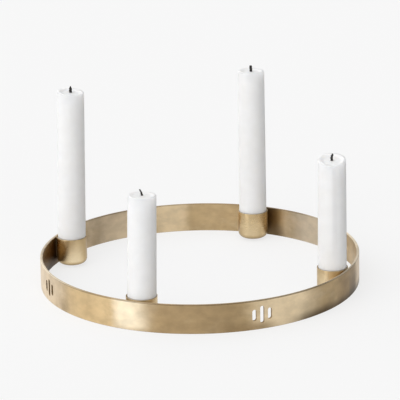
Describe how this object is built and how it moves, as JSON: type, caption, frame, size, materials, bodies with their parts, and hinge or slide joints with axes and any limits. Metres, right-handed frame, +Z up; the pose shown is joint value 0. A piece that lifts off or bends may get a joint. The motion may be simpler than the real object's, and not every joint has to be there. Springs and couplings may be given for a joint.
{
  "type": "advent candle holder",
  "caption": "Low brass ring that stands on a table and holds stick candles upright in small cups fixed inside a flat band, which is pierced with groups of upright slots.",
  "frame": {"origin": "middle of the ring, on the surface that it stands on", "axes": "+Z up; +X towards the right-hand cup and +Y towards the back cup, so the cups stand on the axes"},
  "size_m": [0.25, 0.25, 0.1474],
  "materials": {
    "band_brass": "brushed, lightly aged",
    "cup_brass": "satin, lightly aged",
    "braze_filler": "as brazed",
    "candle_wax": "smooth wax",
    "wick_cotton": "charred cotton"
  },
  "bodies": {
    "holder": {"ring_band": "band_brass", "candle_cup_right": "cup_brass", "braze_seam_right": "braze_filler", "candle_cup_back": "cup_brass", "braze_seam_back": "braze_filler", "candle_cup_left": "cup_brass", "braze_seam_left": "braze_filler", "candle_cup_front": "cup_brass", "braze_seam_front": "braze_filler"},
    "right_candle": {"candle_right": "candle_wax", "wick_right": "wick_cotton"},
    "back_candle": {"candle_back": "candle_wax", "wick_back": "wick_cotton"},
    "left_candle": {"candle_left": "candle_wax", "wick_left": "wick_cotton"},
    "front_candle": {"candle_front": "candle_wax", "wick_front": "wick_cotton"}
  },
  "joints": [
    {"name": "right_candle_lift", "type": "slide", "parent": "holder", "child": "right_candle", "axis": [0, 0, 1], "range_m": [0, 0.03]},
    {"name": "back_candle_lift", "type": "slide", "parent": "holder", "child": "back_candle", "axis": [0, 0, 1], "range_m": [0, 0.03]},
    {"name": "left_candle_lift", "type": "slide", "parent": "holder", "child": "left_candle", "axis": [0.0209, 0.0089, 0.9997], "range_m": [0, 0.03]},
    {"name": "front_candle_lift", "type": "slide", "parent": "holder", "child": "front_candle", "axis": [0.0225, 0.0095, 0.9997], "range_m": [0, 0.03]}
  ]
}
